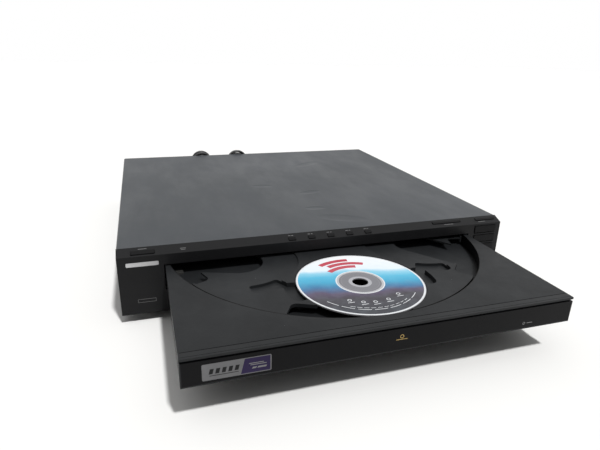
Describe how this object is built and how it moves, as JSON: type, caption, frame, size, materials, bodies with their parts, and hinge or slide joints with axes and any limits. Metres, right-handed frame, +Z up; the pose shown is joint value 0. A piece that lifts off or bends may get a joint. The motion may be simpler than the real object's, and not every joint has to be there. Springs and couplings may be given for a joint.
{
  "type": "dvd player with tray",
  "caption": "Low disc player whose wide drawer slides out with a turning carousel of disc pockets, over a lifting optical unit and a clamper.",
  "frame": {"origin": "on the table, under the middle of the casing's footprint (the tray and the cord left out)", "axes": "+X to the right seen from the front, +Y to the back, so the tray comes out along -Y, +Z up"},
  "size_m": [0.4338, 0.6237, 0.0821],
  "materials": {
    "cover_paint": "satin dark grey paint",
    "sheet_steel": "zinc-plated sheet",
    "front_plastic": "near-black satin",
    "window_plastic": "dark smoked gloss",
    "display_glass": "clear tube",
    "green_board": "solder mask",
    "tan_board": "paper laminate",
    "foot_plastic": "matte black",
    "pad_rubber": "soft rubber",
    "black_steel": "black zinc",
    "core_tape": "yellow tape on ferrite",
    "plated_shell": "nickel plate",
    "jack_white": "gloss",
    "jack_green": "gloss",
    "jack_orange": "gloss",
    "deck_plastic": "glass-filled black",
    "motor_can": "plated can",
    "pulley_brass": "turned",
    "belt_rubber": "smooth",
    "gear_acetal": "white acetal",
    "unit_plastic": "black moulded",
    "rail_steel": "ground rod",
    "lens_glass": "coated",
    "tray_plastic": "fine matte",
    "door_plastic": "satin",
    "face_gloss": "high gloss",
    "disc_print": "printed and lacquered",
    "button_plastic": "semi-gloss",
    "cord_vinyl": "flexible vinyl",
    "plug_metal": "nickelled blades"
  },
  "bodies": {
    "chassis": {"base_pan": "sheet_steel", "top_cover": "cover_paint", "rear_panel": "sheet_steel", "front_bezel": "front_plastic", "display_window": "window_plastic", "display_tube": "display_glass", "front_boards": "green_board", "feet": "foot_plastic", "foot_pads": "pad_rubber", "case_screws": "black_steel", "main_board": "green_board", "power_board": "tan_board", "transformer": "core_tape", "hdmi_socket": "plated_shell", "av_jacks": "jack_white", "component_jacks": "jack_green", "digital_jack": "jack_orange", "cord_gland": "foot_plastic", "mech_deck": "deck_plastic", "clamp_bridge": "sheet_steel", "loading_motor": "motor_can", "drive_belt": "belt_rubber", "cord_run": "cord_vinyl", "cord_hank": "cord_vinyl", "cord_tie": "foot_plastic", "plug_body": "cord_vinyl", "plug_blades": "plug_metal"},
    "tray": {"tray_drawer": "tray_plastic", "tray_door": "door_plastic", "door_face": "face_gloss", "table_motor": "motor_can", "carousel_glides": "gear_acetal", "carousel_cap": "tray_plastic"},
    "carousel": {"carousel": "tray_plastic"},
    "disc": {"disc": "disc_print"},
    "table_pinion": {"table_pinion": "gear_acetal"},
    "motor_pulley": {"motor_pulley": "pulley_brass"},
    "pulley_gear": {"pulley_gear": "gear_acetal"},
    "drive_gear": {"drive_gear": "gear_acetal"},
    "lift_cam": {"lift_cam": "gear_acetal"},
    "base_unit": {"base_unit": "unit_plastic", "spindle_motor": "motor_can", "sled_rails": "rail_steel", "sled_motor": "motor_can"},
    "spindle": {"spindle_hub": "unit_plastic"},
    "pickup": {"pickup_sled": "unit_plastic", "pickup_lens": "lens_glass"},
    "sled_gear": {"sled_gear": "gear_acetal"},
    "clamper": {"clamper": "gear_acetal"},
    "power_button": {"power_button": "button_plastic"},
    "disc_button_1": {"disc_button_1": "button_plastic"},
    "disc_button_2": {"disc_button_2": "button_plastic"},
    "disc_button_3": {"disc_button_3": "button_plastic"},
    "disc_button_4": {"disc_button_4": "button_plastic"},
    "disc_button_5": {"disc_button_5": "button_plastic"},
    "skip_button": {"skip_button": "button_plastic"},
    "open_button": {"open_button": "button_plastic"},
    "play_key": {"play_key": "button_plastic"},
    "pause_key": {"pause_key": "button_plastic"},
    "stop_key": {"stop_key": "button_plastic"}
  },
  "joints": [
    {"name": "tray_slide", "type": "slide", "parent": "chassis", "child": "tray", "axis": [0, -1, 0], "range_m": [-0.155, 0]},
    {"name": "carousel_turn", "type": "hinge", "parent": "tray", "child": "carousel", "pos_m": [0, -0.174, 0.054], "axis": [0, 0, 1], "continuous": true},
    {"name": "table_pinion_turn", "type": "hinge", "parent": "tray", "child": "table_pinion", "pos_m": [0.04628, -0.22915, 0.049], "axis": [0, 0, 1], "continuous": true},
    {"name": "disc_lift", "type": "slide", "parent": "carousel", "child": "disc", "axis": [0, 0, 1], "range_m": [0, 0.06]},
    {"name": "drive_gear_turn", "type": "hinge", "parent": "chassis", "child": "drive_gear", "pos_m": [0.122, -0.165, 0.038], "axis": [0, 0, 1], "continuous": true},
    {"name": "pulley_gear_turn", "type": "hinge", "parent": "chassis", "child": "pulley_gear", "pos_m": [0.149, -0.165, 0.038], "axis": [0, 0, 1], "continuous": true},
    {"name": "motor_pulley_turn", "type": "hinge", "parent": "chassis", "child": "motor_pulley", "pos_m": [0.149, -0.115, 0.035], "axis": [0, 0, 1], "continuous": true},
    {"name": "base_unit_lift", "type": "slide", "parent": "chassis", "child": "base_unit", "axis": [0, 0, 1], "range_m": [0, 0.022]},
    {"name": "lift_cam_slide", "type": "slide", "parent": "chassis", "child": "lift_cam", "axis": [1, 0, 0], "range_m": [0, 0.036]},
    {"name": "spindle_turn", "type": "hinge", "parent": "base_unit", "child": "spindle", "pos_m": [-0.0623, 0.06676, 0.036], "axis": [0, 0, 1], "continuous": true},
    {"name": "pickup_slide", "type": "slide", "parent": "base_unit", "child": "pickup", "axis": [0, 1, 0], "range_m": [0, 0.034]},
    {"name": "sled_gear_turn", "type": "hinge", "parent": "base_unit", "child": "sled_gear", "pos_m": [-0.05541, 0.10276, 0.02], "axis": [0, 0, 1], "continuous": true},
    {"name": "clamper_turn", "type": "hinge", "parent": "chassis", "child": "clamper", "pos_m": [-0.0623, 0.06676, 0.064], "axis": [0, 0, 1], "continuous": true},
    {"name": "power_button_press", "type": "slide", "parent": "chassis", "child": "power_button", "axis": [0, 0.3891, -0.9212], "range_m": [0, 0.0005], "stiffness_N_per_m": 400},
    {"name": "disc_button_1_press", "type": "slide", "parent": "chassis", "child": "disc_button_1", "axis": [0, 0.3891, -0.9212], "range_m": [0, 0.0005], "stiffness_N_per_m": 400},
    {"name": "disc_button_2_press", "type": "slide", "parent": "chassis", "child": "disc_button_2", "axis": [0, 0.3891, -0.9212], "range_m": [0, 0.0005], "stiffness_N_per_m": 400},
    {"name": "disc_button_3_press", "type": "slide", "parent": "chassis", "child": "disc_button_3", "axis": [0, 0.3891, -0.9212], "range_m": [0, 0.0005], "stiffness_N_per_m": 400},
    {"name": "disc_button_4_press", "type": "slide", "parent": "chassis", "child": "disc_button_4", "axis": [0, 0.3891, -0.9212], "range_m": [0, 0.0005], "stiffness_N_per_m": 400},
    {"name": "disc_button_5_press", "type": "slide", "parent": "chassis", "child": "disc_button_5", "axis": [0, 0.3891, -0.9212], "range_m": [0, 0.0005], "stiffness_N_per_m": 400},
    {"name": "skip_button_press", "type": "slide", "parent": "chassis", "child": "skip_button", "axis": [0, 0.3891, -0.9212], "range_m": [0, 0.0005], "stiffness_N_per_m": 400},
    {"name": "open_button_press", "type": "slide", "parent": "chassis", "child": "open_button", "axis": [0, 0.3891, -0.9212], "range_m": [0, 0.0005], "stiffness_N_per_m": 400},
    {"name": "play_key_press", "type": "slide", "parent": "chassis", "child": "play_key", "axis": [0, 1, 0], "range_m": [0, 0.0005], "stiffness_N_per_m": 400},
    {"name": "pause_key_press", "type": "slide", "parent": "chassis", "child": "pause_key", "axis": [0, 1, 0], "range_m": [0, 0.0005], "stiffness_N_per_m": 400},
    {"name": "stop_key_press", "type": "slide", "parent": "chassis", "child": "stop_key", "axis": [0, 1, 0], "range_m": [0, 0.0005], "stiffness_N_per_m": 400}
  ],
  "couplings": [
    {"joint": "drive_gear_turn", "follows": "tray_slide", "rad_per_m": 83.333},
    {"joint": "pulley_gear_turn", "follows": "tray_slide", "rad_per_m": -238.1},
    {"joint": "motor_pulley_turn", "follows": "tray_slide", "rad_per_m": -952.38},
    {"joint": "table_pinion_turn", "follows": "carousel_turn", "ratio": -5},
    {"joint": "lift_cam_slide", "follows": "base_unit_lift", "ratio": 1.6364},
    {"joint": "sled_gear_turn", "follows": "pickup_slide", "rad_per_m": 178.57}
  ]
}
